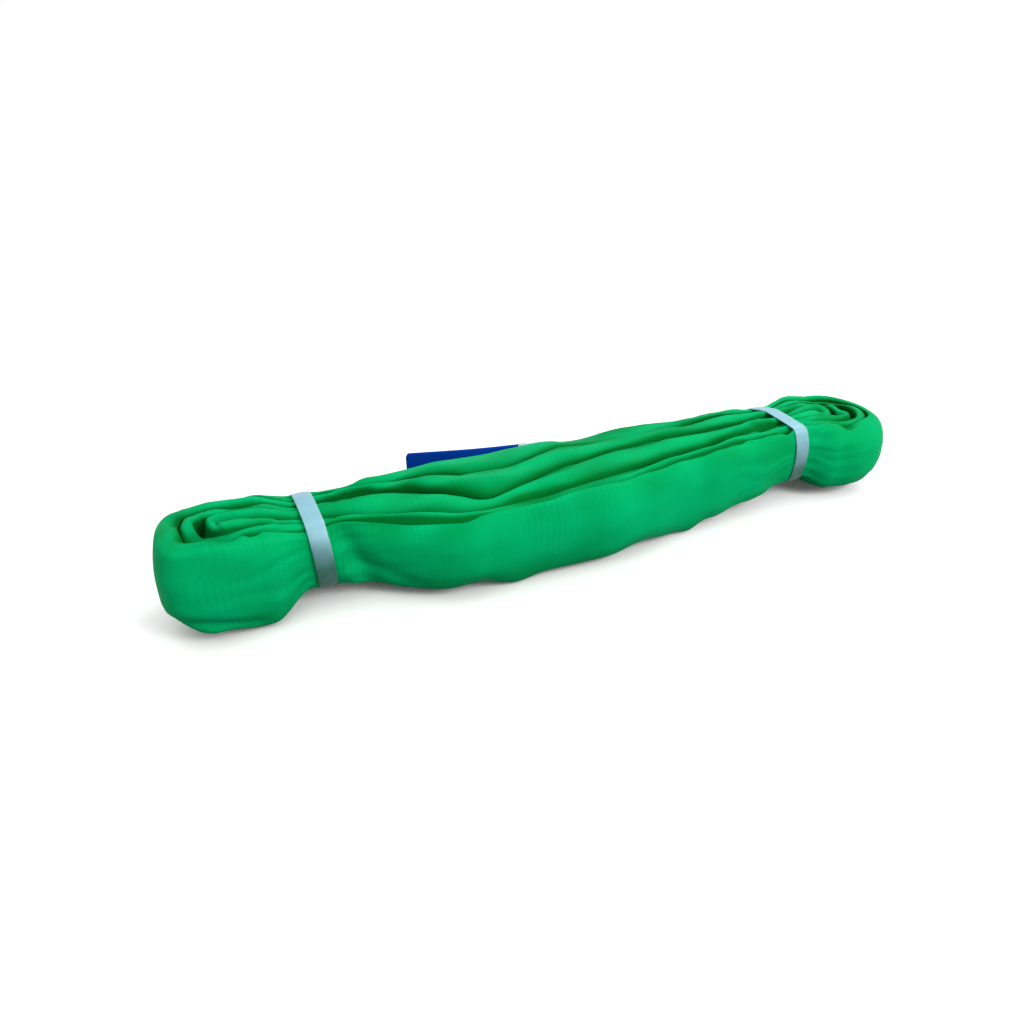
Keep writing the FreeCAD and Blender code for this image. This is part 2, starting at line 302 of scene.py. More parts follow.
def thread_material(name, colour):
    """Sewing thread: one colour with fine fibres."""
    nodes = Nodes(name)
    place = nodes.object_position()
    fibres = nodes.noise(place, 3000.0, 2.0, 0.6)
    darker = tuple(0.62 * c for c in colour)
    nodes.link(nodes.mix(fibres, darker, colour), nodes.shader.inputs["Base Color"])
    nodes.bump(fibres, 0.00012)
    nodes.set(Roughness=0.55, Sheen_Weight=0.2)
    return nodes.material


# ---- smooth design functions ------------------------------------------------------------
def smooth(t):
    """0 up to t = 0 and 1 from t = 1, with a smooth step between."""
    t = np.clip(t, 0.0, 1.0)
    return t * t * (3.0 - 2.0 * t)


def bell(x, centre, width):
    """1 at the centre, falling smoothly to 0 over about two widths."""
    return np.exp(-((x - centre) / width) ** 2)


def waves(seed, *coordinates):
    """Seeded smooth noise, about -1 to 1, of one or more coordinates scaled to its grain."""
    draw = np.random.RandomState(seed)
    total = 0.0
    for _ in range(7):
        heading = draw.normal(size=len(coordinates))
        heading *= draw.uniform(0.55, 1.5) / np.linalg.norm(heading)
        phase = draw.uniform(0, 2 * math.pi)
        total = total + np.sin(2 * math.pi * sum(h * c for h, c in zip(heading, coordinates)) + phase)
    return total / 3.2


# ---- envelope of the bundle, as in the CAD ------------------------------------------------
STATIONS = np.array((      # x, half thickness, underside, top, y of the middle
    (-228.0, 32.5, 0.0, 64.5, 0.0), (-200.0, 34.0, 0.5, 64.0, 3.0), (-175.5, 28.0, 9.5, 54.5, 9.0),
    (-161.5, 28.0, 9.5, 54.5, 9.0), (-84.5, 50.0, 0.0, 57.0, 0.0), (0.0, 49.5, 0.0, 60.0, -1.5),
    (83.5, 39.0, 0.0, 62.0, 0.0), (125.0, 35.0, 7.0, 62.0, 1.0), (160.0, 30.0, 16.0, 59.5, 2.0),
    (174.0, 30.0, 16.0, 59.5, 2.0), (197.0, 38.0, 5.0, 61.0, 1.0), (216.0, 40.0, 4.0, 59.0, 0.0)))
HALF, UNDER, TOP, MIDDLE = 1, 2, 3, 4        # columns of STATIONS
LEFT_STRAP_X, RIGHT_STRAP_X = -168.5, 167.0
HALF_LENGTH = 256.0
LEVEL_SHIFT = 0.12           # layers that the middle of the bundle lies behind the origin
ROUNDING = 0.17              # how far the long upper edges of the bundle are drawn in
ROUNDING_BELOW = 0.12        # the same for the lower edges, in height only


def eased(x, column):
    """A column of STATIONS at x, eased between neighbouring stations."""
    x = np.clip(x, STATIONS[0, 0], STATIONS[-1, 0])
    i = np.clip(np.searchsorted(STATIONS[:, 0], x) - 1, 0, len(STATIONS) - 2)
    near, far = STATIONS[i], STATIONS[i + 1]
    share = smooth((x - near[..., 0]) / (far[..., 0] - near[..., 0]))
    return near[..., column] + (far[..., column] - near[..., column]) * share


def pitch(x):
    """Thickness of one layer at x."""
    return eased(np.asarray(x, float), HALF) / 4.0


# Where the layers meet along the top (-1 front to 1 back), and how high each layer's fold stands.
FOLDS = (
    # x, seven boundaries from front to back, eight fold heights in mm,
    # and eight roundings in mm
    (-256.0, (-.76, -.50, -.18, .12, .38, .87, .94), (0.0, -2.0, -.5, -1.0, -1.0, 0.5, -6.0, -7.0),
     (5, 4, 3, 3, 3, 5, 2, 2)),
    (-222.0, (-.78, -.52, -.22, .08, .35, .82, .92), (0.0, -2.0, -.5, -1.0, -1.0, 0.5, -4.0, -4.0),
     (4, 4, 3, 3, 3, 5, 2, 2)),
    (-202.0, (-.82, -.56, -.30, .02, .28, .62, .82), (0.0, -1.0, -.5, -0.5, -1.0, -.5, -1.0, -1.0),
     (3, 3, 3, 3, 3, 4, 3, 3)),
    (-176.0, (-.86, -.66, -.42, -.06, .22, .48, .75), (-1.0, 0.0, -1.5, 0.3, -1.0, -.8, -.5, 0.0),
     (3, 2, 2, 4, 3, 3, 3, 3)),
    (-160.0, (-.88, -.72, -.56, -.02, .30, .52, .77), (-1.0, 0.8, -3.0, 0.3, -3.0, -.8, -.5, 0.0),
     (2, 2, 2, 4, 3, 3, 3, 4)),
    (-145.0, (-.90, -.76, -.66, .20, .44, .64, .80), (-1.5, 1.0, -5.0, 0.6, -7.0, 0.0, 0.0, 0.0),
     (2, 2, 2, 5, 3, 4, 2, 4)),
    (-128.0, (-.92, -.79, -.70, .16, .42, .60, .64), (-1.5, 1.2, -6.0, 0.8, -9.0, 0.5, -5.0, 0.0),
     (2, 2, 2, 6, 3, 4, 2, 5)),
    (-107.0, (-.93, -.81, -.71, -.06, .18, .54, .58), (-1.5, 1.2, -6.0, 0.8, -9.0, 0.8, -5.0, 0.0),
     (2, 2, 2, 6, 3, 5, 2, 5)),
    (-89.0, (-.93, -.82, -.73, -.34, -.16, .40, .44), (-1.5, 1.0, -6.0, 0.2, -8.0, 1.0, -5.0, 0.0),
     (2, 2, 2, 5, 3, 5, 2, 5)),
    (-70.0, (-.93, -.84, -.80, -.60, -.50, .22, .26), (-1.0, -1.0, -6.0, -1.5, -6.0, 1.2, -6.0, 0.0),
     (2, 2, 2, 4, 3, 6, 2, 5)),
    (-45.0, (-.93, -.70, -.67, -.40, -.36, .16, .20), (-.5, -5.0, -7.0, -1.2, -5.0, -0.2, -4.0, -0.8),
     (2, 3, 2, 4, 2, 4, 2, 6)),
    (-5.0, (-.93, -.66, -.63, -.14, -.10, .36, .40), (-.5, -5.5, -7.0, -.6, -3.5, 0.3, -3.0, 0.0),
     (2, 3, 2, 4, 2, 3, 2, 6)),
    (30.0, (-.93, -.82, -.60, -.08, -.04, .36, .40), (-.5, 0.6, -5.0, -.8, -3.5, 0.0, -3.0, -3.0),
     (2, 2, 3, 3, 2, 3, 2, 6)),
    (84.0, (-.92, -.82, -.56, -.18, -.12, .30, .36), (-.8, 1.2, -6.0, -.6, -3.5, 0.6, -4.0, 0.0),
     (2, 2, 3, 4, 2, 4, 2, 5)),
    (125.0, (-.87, -.74, -.50, -.24, 0.0, .32, .60), (-.8, 0.8, -5.0, 0.0, -4.0, 0.5, -4.0, 0.0),
     (2, 2, 3, 4, 3, 4, 3, 4)),
    (155.0, (-.80, -.64, -.40, -.16, .10, .38, .68), (-.3, 0.5, -2.5, 0.2, -2.0, 0.3, -1.5, 0.0),
     (3, 2, 3, 3, 3, 3, 3, 4)),
    (178.0, (-.80, -.62, -.38, -.14, .10, .38, .68), (0.0, 0.0, -1.5, 0.2, -1.5, 0.2, -1.5, 0.0),
     (3, 3, 3, 3, 3, 3, 3, 4)),
    (216.0, (-.77, -.52, -.26, 0.0, .25, .50, .76), (0.0, -3.0, -.5, -2.5, -.5, -2.5, -.5, 0.5),
     (4, 4, 4, 4, 4, 4, 4, 4)),
    (256.0, (-.77, -.52, -.26, 0.0, .25, .50, .76), (0.0, -3.0, -.5, -2.5, -.5, -2.5, -.5, 0.5),
     (4, 4, 4, 4, 4, 4, 4, 4)),
)
FOLD_GRID = np.arange(-260.0, 260.5, 1.0)


def softened(columns):
    """Values on FOLD_GRID from a column per station, with the corners at the stations softened."""
    stations = [row[0] for row in FOLDS]
    kernel = bell(np.arange(-24, 25), 0.0, 7.0)
    kernel /= kernel.sum()
    out = []
    for column in zip(*columns):
        values = np.interp(FOLD_GRID, stations, column)
        out.append(np.convolve(np.pad(values, 24, "edge"), kernel, "valid"))
    return np.array(out)


TOP_BOUNDARIES = softened([(-1.0, *row[1], 1.0) for row in FOLDS])
FOLD_HEIGHTS = softened([row[2] for row in FOLDS])
FOLD_CAPS = softened([row[3] for row in FOLDS])


def from_grid(table, index, x):
    """table[index] at x; index may be fractional, between two rows."""
    low = np.clip(np.floor(index).astype(int), 0, len(table) - 2)
    part = index - low
    at = np.clip((x - FOLD_GRID[0]) / (FOLD_GRID[1] - FOLD_GRID[0]), 0, len(FOLD_GRID) - 1.001)
    col = at.astype(int)
    along = at - col
    a = table[low, col] * (1 - along) + table[low, col + 1] * along
    b = table[low + 1, col] * (1 - along) + table[low + 1, col + 1] * along
    return a * (1 - part) + b * part


HEM = (           # x, half length and rise of the waves in the front face's lower edge
    (-230.0, 11.0, 3.4), (-203.0, 10.0, -2.0), (-140.0, 20.0, -1.5), (-85.0, 15.0, 4.6),
    (-58.0, 12.0, -3.0), (30.0, 17.0, 3.6), (74.0, 8.0, -2.5), (88.0, 8.0, 2.5),
    (141.0, 9.0, -1.5), (160.0, 9.0, -2.0), (228.0, 16.0, 1.5))
PLEATS = (        # strap, how far its pleats run along the bundle, and their height
    (LEFT_STRAP_X, 34.0, 1.7), (RIGHT_STRAP_X, 40.0, 2.9))
PLEAT_START = 7.0            # from the strap's middle
PLEAT_RATE = 7.3             # pleats across half the bundle's thickness
TOP_SLACK = (     # seed, height, grain along the bundle, and rate across it
    (22, 0.9, 70.0, 1.6), (24, 0.7, 90.0, 3.5), (23, 0.35, 34.0, 5.0), (25, 0.2, 20.0, 8.0))


def place(x, level, height, rise):
    """Point of the bundle: x, level 0 front to 8 back, height -1 to 1, and the fold's rise in mm."""
    x, level, height = np.broadcast_arrays(np.asarray(x, float), level, height)
    half, low, high = eased(x, HALF), eased(x, UNDER), eased(x, TOP)
    even = (level - 4.0) / 4.0
    top = smooth(height / 0.8)
    q = even * (1 - top) + from_grid(TOP_BOUNDARIES, level, x) * top
    tall = (high - low) / 2
    y = half * (q * (1 - ROUNDING * np.abs(height) ** 2.6) + LEVEL_SHIFT / 4) + eased(x, MIDDLE)
    rounding = np.where(height > 0, ROUNDING, ROUNDING_BELOW)
    z = (low + high) / 2 + tall * height * (1 - rounding * np.abs(q) ** 2.4)
    hem = sum(rise_mm * bell(x, centre, length) for centre, length, rise_mm in HEM)
    z = z + hem * smooth((-q - 0.2) / 0.8) * smooth((-height - 0.3) / 0.6)
    lift = np.clip(height, 0, 1) ** 4
    z = z + lift * rise
    # pleats that the straps gather, running out along the top and the faces
    for strap, reach, size in PLEATS:
        away = np.abs(x - strap)
        near = np.exp(-np.maximum(away - PLEAT_START, 0) / reach) * smooth((away - 3.0) / 10.0)
        crests = np.abs(np.sin(math.pi * (q * PLEAT_RATE + 0.7 * waves(11, x / 60.0, q * 1.5)))) ** 0.8
        z = z + size * near * lift * (crests - 0.6) * (0.75 + 0.35 * waves(13, x / 25.0, q * 2.0))
        face = smooth((np.abs(q) - 0.45) / 0.5)
        ripple = np.sin(2 * math.pi * (height * 2.1 + 0.5 * waves(12, x / 70.0, height)))
        y = y + 0.8 * near * face * np.sign(q) * ripple * (1 - lift)
    # slack in the cloth along the top
    y = y + 1.3 * lift * waves(21, x / 55.0, q * 1.2)
    z = z + lift * sum(size * waves(seed, x / grain, q * rate) for seed, size, grain, rate in TOP_SLACK)
    return np.stack([x, y, z], -1)


def groove(points, start, end, width, depth):
    """A crease pressed into the front face between two points given as x and z."""
    ax, az = start
    bx, bz = end
    length = math.hypot(bx - ax, bz - az)
    ux, uz = (bx - ax) / length, (bz - az) / length
    along = (points[..., 0] - ax) * ux + (points[..., 2] - az) * uz
    off = (points[..., 0] - ax) * -uz + (points[..., 2] - az) * ux
    inside = smooth(along / 12.0 + 0.5) * smooth((length - along) / 12.0 + 0.5)
    profile = bell(off, 0.0, width) - 0.45 * bell(off, -1.7 * width, width)
    return depth * inside * profile


DENTS = (         # x, y and depth of hollows pressed into the top, with their half lengths in x and y
    (-237.0, -12.0, 6.0, 6.0, 5.0), (-223.0, -20.0, 4.5, 7.0, 4.0), (-216.0, -2.0, 6.0, 7.0, 3.0),
    (-240.0, 9.0, 4.0, 3.5, 6.0), (-205.0, 10.0, 3.0, 9.0, 3.0), (-196.0, -4.0, 2.5, 10.0, 2.5),
    (206.0, 1.0, 6.0, 3.5, 3.0), (216.0, -8.0, 6.5, 4.0, 3.5), (209.0, -26.0, 4.5, 5.5, 2.5),
    (228.0, -3.0, 4.5, 3.0, 6.0), (222.0, 12.0, 3.5, 7.0, 2.5), (196.0, -14.0, 3.0, 9.0, 2.0),
    (156.0, -20.5, 6.5, 4.0, 2.2), (150.0, -8.0, 3.0, 10.0, 2.0), (144.0, 3.0, 2.5, 12.0, 2.0),
    (-150.0, -7.0, 2.5, 9.0, 2.2), (-148.0, 10.0, 3.0, 10.0, 2.5), (-143.0, 30.0, 2.0, 9.0, 2.5))
DENT_SHADE = 0.16            # painted shade for each mm of dent
CREASES = (       # start and end as x and z, width and depth, on the front face
    ((-158.0, 50.0), (-140.0, 8.0), 6.0, 3.2), ((-152.0, 30.0), (-118.0, 12.0), 4.0, 1.5),
    ((-250.0, 20.0), (-205.0, 6.0), 3.4, 3.0), ((186.0, 14.0), (205.0, 40.0), 8.0, 1.0),
    ((-58.0, 8.0), (8.0, 22.0), 7.0, 0.8))
TUCK_X = 206.0               # beyond this, at both ends, the lower corners are tucked under


def dent_sum(points):
    """Depth of all the dents together at each point."""
    x, y = points[..., 0], points[..., 1]
    return sum(depth * bell(x, dx, length) * bell(y, dy, width) for dx, dy, depth, length, width in DENTS)


def on_top(points):
    """1 on the top of the bundle, falling to 0 on its faces and below."""
    x, z = points[..., 0], points[..., 2]
    return smooth((z - eased(x, UNDER) - 0.62 * (eased(x, TOP) - eased(x, UNDER))) / 12.0)


# painted shade in the dents on the top, darkest where they are deepest
def dent_shade(points):
    return DENT_SHADE * dent_sum(points) * on_top(points)


def settle(points):
    """Slack and creases of the whole bundle, a smooth change of place, so layers never cross."""
    p = np.array(points, float)
    x, y, z = p[..., 0].copy(), p[..., 1].copy(), p[..., 2].copy()
    half = eased(x, HALF)
    across = (y - eased(x, MIDDLE)) / half
    front, back = smooth((-across - 0.35) / 0.6), smooth((across - 0.35) / 0.6)
    # lower end corners are tucked under
    tuck = np.clip((22.0 - z) / 24.0, 0, 1)
    p[..., 0] += np.maximum(-TUCK_X - x, 0) * 0.30 * tuck
    p[..., 0] -= np.maximum(x - TUCK_X, 0) * 0.24 * smooth((30.0 - z) / 34.0)
    # broad slack of the two faces
    dy = front * (1.0 * waves(31, x / 130.0, z / 70.0) + 0.12 * waves(32, x / 40.0, z / 40.0))
    dy -= back * (1.0 * waves(33, x / 130.0, z / 70.0) + 0.12 * waves(34, x / 40.0, z / 40.0))
    for crease in CREASES:
        dy += front * groove(p, *crease)
    p[..., 1] += dy
    p[..., 2] -= dent_sum(p) * on_top(p)
    # the top of the left end is drawn askew
    p[..., 0] -= 0.30 * (y - 2.0) * bell(x, -224.0, 20.0) * on_top(p)
    p[..., 2] += 0.7 * waves(35, x / 60.0, y / 50.0) * smooth((z - 20.0) / 30.0)
    p[..., 2] = np.maximum(p[..., 2], 0.0)          # the cloth rests on the floor
    return p


# ---- the rolled-up sling ----------------------------------------------------------------
LEFT_TURN_X = -HALF_LENGTH + 3 * float(pitch(-300.0))
RIGHT_TURN_X = HALF_LENGTH - 4 * float(pitch(300.0))
LAST_BIGHT_X = -233.0
OPEN_LEFT, OPEN_LEFT_INNER = 6.0, 11.0          # slack that opens pockets at the ends
OPEN_RIGHT, OPEN_RIGHT_INNER = -5.0, -8.0
RIM = {"left1": 6.0}         # how much wider the outermost fold lies at the end
# Runs: level at slit, side the outline lies on, and layer. Turns: centre, radius at slit, change
# of radius, layers before and after it, end of the bundle, forward, and slack.
LOOP = (
    ("run", 3, -1, 2, "inner", "right2"), ("turn", 4, 1, 1, 2, 5, 1, True, "right2"),
    ("run", 5, 1, 5, "right2", "left1"), ("turn", 3, 2, 1, 5, 0, -1, False, "left1"),
    ("run", 1, -1, 0, "left1", "right4"), ("turn", 4, 3, 1, 0, 7, 1, True, "right4"),
    ("run", 7, 1, 7, "right4", "last"), ("turn", 7, 0, 1, 7, 6, -1, False, "last"),
    ("run", 7, -1, 6, "last", "right4"), ("turn", 4, 3, -1, 6, 1, 1, False, "right4"),
    ("run", 1, 1, 1, "right4", "left2"), ("turn", 3, 2, -1, 1, 4, -1, True, "left2"),
    ("run", 5, -1, 4, "left2", "right1"), ("turn", 4, 1, -1, 4, 3, 1, False, "right1"),
    ("run", 3, 1, 3, "right1", "inner"), ("turn", 3, 0, 1, 3, 2, -1, False, "inner"),
)
TURN_X = {        # x of each turn's centre, and its slack
    "left1": (LEFT_TURN_X, 0.0), "left2": (LEFT_TURN_X, OPEN_LEFT), "inner": (LEFT_TURN_X, OPEN_LEFT_INNER),
    "last": (LAST_BIGHT_X, 0.0), "right4": (RIGHT_TURN_X, 0.0), "right2": (RIGHT_TURN_X, OPEN_RIGHT),
    "right1": (RIGHT_TURN_X, OPEN_RIGHT_INNER)}
RING_STEP = 2.9
WALL_GAP = 0.022             # gap beside each wall, in layers
END_CAPS = (3.4, 2.2)        # rounding of the tube's upper and lower edges in the turns
OUTER_LAYERS = (0, 7)
OUTER_TURNS = (("left1", 1), ("right4", 1), ("last", 1))     # name and change of radius
OUTER_WALL = 0.7             # from here towards the next layer, a wall is on the outside


def turn_place(name, height):
    """x of a turn's centre: slack draws its loose upper edge inwards, its packed middle not."""
    x, slack = TURN_X[name]
    return x + slack * smooth((height - 0.05) / 0.8)


def fold_rise(x, layer):
    """How far a layer's fold stands above the bundle's top at x."""
    return from_grid(FOLD_HEIGHTS, np.asarray(layer, float), np.asarray(x, float))


class Section:
    """Points round the flat tube: a is -1 slit wall to 1 outline wall, with rounded edges."""

    def __init__(self, outline, slit, top, bottom):
        self.a, self.wall, self.over, self.under = [], [], [], []
        for i in range(outline):
            self.append(1.0, (i + 0.5) / outline, 0.0, 0.0)
        for i in range(top):
            angle = math.pi * (i + 0.5) / top
            self.append(math.cos(angle), 1.0, math.sin(angle), 0.0)
        for i in range(slit):
            self.append(-1.0, 1.0 - (i + 0.5) / slit, 0.0, 0.0)
        for i in range(bottom):
            angle = math.pi * (i + 0.5) / bottom
            self.append(-math.cos(angle), 0.0, 0.0, math.sin(angle))
        self.a, self.wall = np.array(self.a), np.array(self.wall)
        self.over, self.under = np.array(self.over), np.array(self.under)

    def append(self, a, wall, over, under):
        self.a.append(math.copysign(abs(a) ** 0.85, a))
        self.wall.append(wall)
        self.over.append(over)
        self.under.append(under)

    def heights(self, cap_top, cap_bottom, reach):
        span = 2.0 * reach - cap_top - cap_bottom
        return (-reach + cap_bottom) + self.wall * span + self.over * cap_top - self.under * cap_bottom


def run_samples(start, end):
    """x values along a run, closer together beside the straps and at its ends."""
    fine = np.linspace(start, end, 2000)
    density = 1.0 + 0.9 * sum(bell(fine, s, 30.0) for s in (LEFT_STRAP_X, RIGHT_STRAP_X))
    total = np.concatenate([[0.0], np.cumsum((density[1:] + density[:-1]) / 2 * np.abs(np.diff(fine)))])
    count = int(total[-1] / RING_STEP)
    return np.interp(np.linspace(0, total[-1], count + 1), total, fine)


def painted_crease_shade(section, outer, rise):
    """Painted shade at each point of a ring, by how deep it lies between layers: 0 on the outside to 1 in a
    slit.
    """
    edge = np.maximum(section.over, section.under)
    sides = np.where(outer, 0.0, 1.0 - edge ** 1.5)
    return np.clip(sides + 0.10 * np.maximum(-rise - 1.0, 0) * (section.wall >= 1.0), 0, 1)


def run_rings(segment, section, k, reach, x_range, caps):
    """Rings of a run between two turns, and the painted shade of their points."""
    _, base, side, layer, begin, finish = segment
    start, stop = TURN_X[begin][0], TURN_X[finish][0]
    x = run_samples(start, stop)
    if x_range:
        x = x[(x >= x_range[0]) & (x <= x_range[1])]
    x = x[:, None]
    u = (x - start) / (stop - start)
    half = (eased(x, TOP) - eased(x, UNDER)) / 2
    cap = (caps[0] if caps else from_grid(FOLD_CAPS, np.full(x.shape, float(layer)), x)) / half
    height = section.heights(cap, (caps or END_CAPS)[1] / half, reach)
    # slack at each end bends the run where it meets the turn
    x = (x + (turn_place(begin, height) - start) * (1 - u) ** 6 + (turn_place(finish, height) - stop) * u ** 6)
    rise = fold_rise(x, layer)
    outer = (layer in OUTER_LAYERS) & (k > OUTER_WALL)
    return place(x, base + side * k, height, rise), painted_crease_shade(section, outer, rise)


def turn_rings(segment, section, k, reach, caps):
    """Rings of a turn at one end of the bundle, and the painted shade of their points."""
    _, centre, radius, change, before, after, end, forward, name = segment
    base_x = TURN_X[name][0]
    half = float(eased(np.array(base_x), TOP) - eased(np.array(base_x), UNDER)) / 2
    height = section.heights((caps or END_CAPS)[0] / half, (caps or END_CAPS)[1] / half, reach)
    rho = radius + change * k
    widest = max(radius, radius + change)
    reach_x = rho * float(pitch(base_x)) * (1 - ROUNDING * np.abs(height) ** 2.6)
    x = turn_place(name, height)
    front_layer, back_layer = (before, after) if forward else (after, before)
    middle = place(x, np.full_like(rho, centre), height, 0.0)
    front = place(x, centre - rho, height, fold_rise(x, front_layer))
    back = place(x, centre + rho, height, fold_rise(x, back_layer))
    count = max(8, int(math.pi * widest * 8.0 / 2.6))
    angles = np.linspace(-math.pi / 2, math.pi / 2, count + 1)[1:-1]
    if not forward:
        angles = angles[::-1]
    outer = (name, change) in OUTER_TURNS and k > OUTER_WALL
    rings, crease_shades = [], []
    for angle in angles:
        part = (1 + math.sin(angle)) / 2
        # wide turns are blunt, and bluntest at the corner where the bundle is squarest
        blunt = 1.0 if widest < 1.5 else 0.62 if (angle > 0) == (end < 0) else 0.74
        square = math.cos(angle) ** blunt
        reach_y = (middle[:, 1] - front[:, 1]) * (1 - part) + (back[:, 1] - middle[:, 1]) * part
        rim = RIM.get(name, 0.0) * square * (1 - k) * smooth((height - 0.1) / 0.7)
        slack = waves(41 + centre + 7 * max(before, after), angle / 2.2 + 0 * height, height)
        ring = np.empty_like(middle)
        ring[:, 0] = x + end * reach_x * square - end * rim
        ring[:, 1] = middle[:, 1] + reach_y * math.sin(angle)
        ring[:, 2] = front[:, 2] * (1 - part) + back[:, 2] * part
        ring[:, 2] += 1.4 * np.clip(height, 0, 1) ** 5 * slack
        rings.append(ring)
        rise = fold_rise(x, front_layer) * (1 - part) + fold_rise(x, back_layer) * part
        crease_shades.append(painted_crease_shade(section, outer, rise))
    return rings, crease_shades


def tube_rings(section, spread=1.0, reach=1.0, segments=LOOP, x_range=None, caps=None):
    """Rings of the endless tube, and the painted shade of each point, from 0 to 1.

    spread and reach narrow it for what lies inside the sleeve.
    """
    rings, crease_shades = [], []
    for segment in segments:
        k = 0.5 + (0.5 - WALL_GAP) * section.a * spread
        if segment[0] == "run":
            more_rings, more_crease_shades = run_rings(segment, section, k, reach, x_range, caps)
        else:
            more_rings, more_crease_shades = turn_rings(segment, section, k, reach, caps)
        rings.extend(more_rings)
        crease_shades.extend(more_crease_shades)
    rings = settle(np.array(rings))
    x, y, z = rings[..., 0], rings[..., 1], rings[..., 2]
    # painted shade: the top darkens in patches, and the faces towards the floor
    shade = dent_shade(rings) + on_top(rings) * (0.20 + 0.14 * waves(71, x / 60.0, y / 22.0))
    shade = shade + 0.55 * smooth((20.0 - z) / 24.0)
    return rings, np.clip(np.array(crease_shades) + shade, 0, 1)


# ---- mesh helpers -----------------------------------------------------------------------
def make_mesh(name, points, faces, uv, material):
    """Object from millimetre points, with smooth shading and a weave map in metres."""
    corners = [tuple(p) for p in np.asarray(points, float) * MM]
    mesh = bpy.data.meshes.new(name)
    mesh.from_pydata(corners, [], [tuple(map(int, f)) for f in faces])
    mesh.update()
    if uv is not None:
        layer = mesh.uv_layers.new(name="weave")
        layer.data.foreach_set("uv", (np.asarray(uv, np.float32) * MM).ravel())
    mesh.polygons.foreach_set("use_smooth", [True] * len(mesh.polygons))
    mesh.materials.append(material)
    return add_object(name, mesh)


def grid_faces(rows, columns, close_rows, close_columns):
    """Four corners for each face of a grid of points, which may close on itself either way."""
    r = np.arange(rows if close_rows else rows - 1)
    c = np.arange(columns if close_columns else columns - 1)
    r, c = np.meshgrid(r, c, indexing="ij")
    a = r * columns + c
    b = r * columns + (c + 1) % columns
    d = ((r + 1) % rows) * columns + c
    e = ((r + 1) % rows) * columns + (c + 1) % columns
    return np.stack([a, b, e, d], -1).reshape(-1, 4)


def grid_uv(along, around, close_rows, close_columns):
    """Corner maps for grid_faces, from lengths along rows and round each row."""
    rows, columns = len(along) - close_rows, len(around) - close_columns
    r = np.arange(rows if close_rows else rows - 1)
    c = np.arange(columns if close_columns else columns - 1)
    r, c = np.meshgrid(r, c, indexing="ij")
    corners = [(along[r], around[c]), (along[r], around[c + 1]),
               (along[r + 1], around[c + 1]), (along[r + 1], around[c])]
    return np.stack([np.stack(pair, -1) for pair in corners], 2).reshape(-1, 2)


def tube_object(name, rings, material, flip=False, close=True):
    """Closed tube through rings, mapped by its length along and round. flip turns it outside in."""
    count, columns = rings.shape[:2]
    centres = rings.mean(axis=1)
    step = np.linalg.norm(np.diff(centres, axis=0, append=centres[:1]), axis=1)
    along = np.concatenate([[0.0], np.cumsum(step)])
    side = np.linalg.norm(np.diff(rings, axis=1, append=rings[:, :1]), axis=2).mean(axis=0)
    across = np.concatenate([[0.0], np.cumsum(side)])
    faces = grid_faces(count, columns, close, True)
    uv = grid_uv(along if close else along[:-1], across, close, True)
    if flip:
        faces = faces[:, ::-1]
        uv = uv.reshape(-1, 4, 2)[:, ::-1].reshape(-1, 2)
    points = rings.reshape(-1, 3)
    if not close:
        faces = [list(f) for f in faces]
        ends = [list(range(columns))[::-1], list(range((count - 1) * columns, count * columns))]
        if flip:
            ends = [e[::-1] for e in ends]
        faces += ends
        uv = np.concatenate([uv, np.zeros((2 * columns, 2))])
    return make_mesh(name, points, faces, uv, material)


def steps_along(line):
    """Distance along a line of points, from its first point."""
    return np.concatenate([[0.0], np.cumsum(np.linalg.norm(np.diff(line, axis=0), axis=1))])


def slab_object(name, inner, outer, material):
    """Closed sheet between two matching grids of points, rows by columns."""
    rows, columns = inner.shape[:2]
    points = np.concatenate([inner.reshape(-1, 3), outer.reshape(-1, 3)])
    count = rows * columns
    side = grid_faces(rows, columns, False, False)
    faces = [list(f) for f in side[:, ::-1]] + [list(f + count) for f in side]
    rim = [(0, c) for c in range(columns)] + [(r, columns - 1) for r in range(1, rows)]
    rim += [(rows - 1, c) for c in range(columns - 2, -1, -1)] + [(r, 0) for r in range(rows - 2, 0, -1)]
    rim = [r * columns + c for r, c in rim]
    for a, b in zip(rim, rim[1:] + rim[:1]):
        faces.append([a, b, b + count, a + count])
    length, width = steps_along(inner[:, columns // 2]), steps_along(inner[rows // 2])
    flat = np.stack(np.meshgrid(length, width, indexing="ij"), -1).reshape(-1, 2)
    flat = np.concatenate([flat, flat])
    uv = np.concatenate([flat[list(f)] for f in faces])
    return make_mesh(name, points, faces, uv, material)


# ---- colours and materials ----------------------------------------------------------------
make_camera()
make_stage()
# the green cloth's last colour, a dark yellow-green, is painted shade
GREEN_CLOTH = cloth_material("sling_green", (0.0004, 0.27, 0.066), (0.0008, 0.47, 0.185), 1.27, 0.65,
                             sheen=0.02, gloss=0.025, painted_shade=(0.0006, 0.10, 0.006))
BLUE_CLOTH = cloth_material("label_blue", (0.0006, 0.022, 0.23), (0.0016, 0.060, 0.42), 0.9, 0.9,
                            rib_height=0.00008, sheen=0.02, gloss=0.15, roughness=0.5)
PALE_CLOTH = cloth_material("label_pale", (0.28, 0.47, 0.50), (0.42, 0.64, 0.66), 1.0, 0.8, rib_height=0.0001)
YARN = cloth_material("core_yarn", (0.55, 0.53, 0.47), (0.82, 0.80, 0.74), 4.0, 0.9, rib_height=0.0003)
TAPE = cloth_material("core_tape", (0.50, 0.40, 0.22), (0.66, 0.55, 0.33), 6.0, 2.0, rib_height=0.00004)
GREEN_THREAD = thread_material("thread_green", (0.05, 0.52, 0.27))
PALE_THREAD = thread_material("thread_pale", (0.80, 0.84, 0.85))
FILM = film_material()


